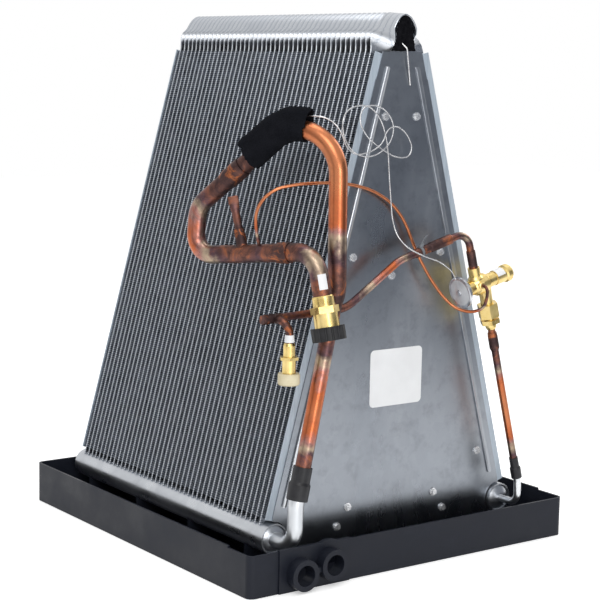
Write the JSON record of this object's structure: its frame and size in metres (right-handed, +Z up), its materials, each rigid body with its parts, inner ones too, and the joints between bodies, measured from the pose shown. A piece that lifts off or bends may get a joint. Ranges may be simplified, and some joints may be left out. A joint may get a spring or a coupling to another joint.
{
  "type": "evaporator coil",
  "caption": "Folded A-shaped microchannel evaporator coil in a black drain pan, with copper suction and liquid piping and a brass expansion valve.",
  "frame": {"origin": "centre of the drain pan's underside", "axes": "+Z up, +X across the two slabs towards the liquid header, -Y towards the piping and drain ports"},
  "size_m": [0.504, 0.5652, 0.6795],
  "materials": {
    "pan_plastic": "black moulded polyester, dull, with faint flow marks",
    "header_aluminium": "drawn aluminium tube, satin",
    "tube_aluminium": "extruded flat tube, bright satin",
    "fin_aluminium": "louvred fin stock, dull silver",
    "strip_aluminium": "mill-finish sheet",
    "galvanised_sheet": "galvanised steel, smooth, soft reflections",
    "zinc_screw": "bright zinc",
    "black_foam": "closed-cell foam, matt",
    "black_felt": "thick felt with a nap, matt",
    "steel_wire": "drawn stainless steel",
    "label_paper": "blank coated paper",
    "copper": "copper tube, semi-bright, with heat tint and soot near the brazed joints",
    "brass": "machined yellow brass",
    "black_cap_plastic": "black moulded dust cap",
    "ivory_cap_plastic": "ivory moulded dust cap",
    "shrink_plastic": "heat-shrink sleeve, slightly glossy",
    "valve_head_steel": "plated steel disc, dark rim"
  },
  "bodies": {
    "root": {"bulb_strap": "steel_wire", "capillary_tube": "steel_wire", "coil_tubes": "tube_aluminium", "delta_plate_front": "galvanised_sheet", "delta_plate_rear": "galvanised_sheet", "drain_pan": "pan_plastic", "end_cap_liquid": "header_aluminium", "end_cap_suction": "header_aluminium", "end_caps_rear": "header_aluminium", "equaliser_tube": "copper", "felt_wrap": "black_felt", "fins_left": "fin_aluminium", "fins_right": "fin_aluminium", "flare_nut": "brass", "foam_clip": "steel_wire", "foam_plug_front": "black_foam", "foam_plug_rear": "black_foam", "header_left": "header_aluminium", "header_right": "header_aluminium", "inlet_socket": "copper", "line_coupling": "copper", "liquid_branch": "copper", "liquid_cap": "ivory_cap_plastic", "liquid_elbow": "header_aluminium", "liquid_fitting": "brass", "liquid_line": "copper", "liquid_tag": "label_paper", "liquid_tee": "copper", "lower_riser": "copper", "outlet_nut": "brass", "outlet_socket": "copper", "outlet_tube": "copper", "plate_screws_front": "zinc_screw", "plate_screws_rear": "zinc_screw", "power_head": "valve_head_steel", "process_socket": "copper", "process_tube": "copper", "rating_label": "label_paper", "sensing_bulb": "copper", "shrink_sleeve_liquid": "shrink_plastic", "shrink_sleeve_suction": "shrink_plastic", "side_strip_front_left": "strip_aluminium", "side_strip_front_right": "strip_aluminium", "side_strip_rear_left": "strip_aluminium", "side_strip_rear_right": "strip_aluminium", "stem_cap": "brass", "stem_sticker": "label_paper", "suction_bend": "copper", "suction_cap": "black_cap_plastic", "suction_coupling": "copper", "suction_elbow": "header_aluminium", "suction_fitting": "brass", "suction_tag": "label_paper", "suction_trap": "copper", "upper_riser": "copper", "valve_body": "brass", "valve_inlet_tube": "copper"}
  },
  "joints": []
}
